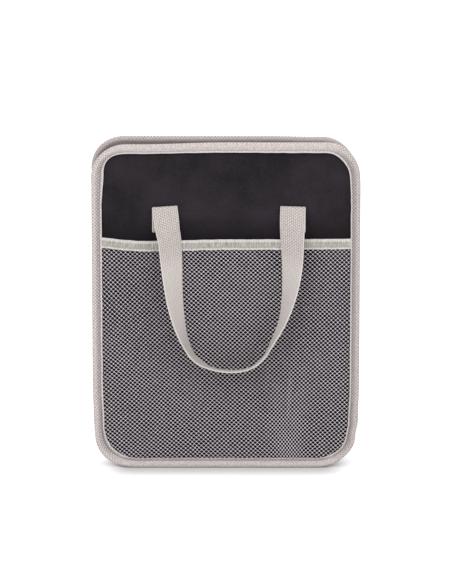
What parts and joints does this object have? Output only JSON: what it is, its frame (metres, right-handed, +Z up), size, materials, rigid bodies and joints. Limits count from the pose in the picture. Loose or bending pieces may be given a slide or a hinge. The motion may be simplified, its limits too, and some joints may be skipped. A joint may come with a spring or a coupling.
{
  "type": "folding car organizer",
  "caption": "Black cloth car organizer, folded flat, with grey bound edges, net pockets and webbing handles.",
  "frame": {"origin": "on the floor under the middle of the folded pack", "axes": "+Z up along the end walls, -Y out of the front net pocket towards the viewer, +X to the viewer's right"},
  "size_m": [0.2642, 0.0882, 0.3325],
  "materials": {
    "black_polyester": "plain woven polyester, matt",
    "grey_tape": "ribbed woven binding tape, matt",
    "grey_net": "knitted diamond net, slight sheen",
    "grey_webbing": "woven webbing, matt",
    "stiffener_board": "polyethylene stiffener board, matt"
  },
  "bodies": {
    "root": {"front_cover": "black_polyester", "front_board": "stiffener_board", "front_lining": "black_polyester", "front_binding": "grey_tape", "front_pocket_net": "grey_net", "front_pocket_hem": "grey_tape", "front_handle": "grey_webbing", "back_cover": "black_polyester", "back_board": "stiffener_board", "back_lining": "black_polyester", "back_binding": "grey_tape", "back_pocket_net": "grey_net", "back_pocket_hem": "grey_tape", "back_handle": "grey_webbing", "left_wall_cover": "black_polyester", "left_wall_lining": "black_polyester", "left_wall_board_front": "stiffener_board", "left_wall_board_back": "stiffener_board", "left_wall_tape": "grey_tape", "right_wall_cover": "black_polyester", "right_wall_lining": "black_polyester", "right_wall_board_front": "stiffener_board", "right_wall_board_back": "stiffener_board", "right_wall_tape": "grey_tape", "base_fabric": "black_polyester", "base_board": "stiffener_board"}
  },
  "joints": []
}
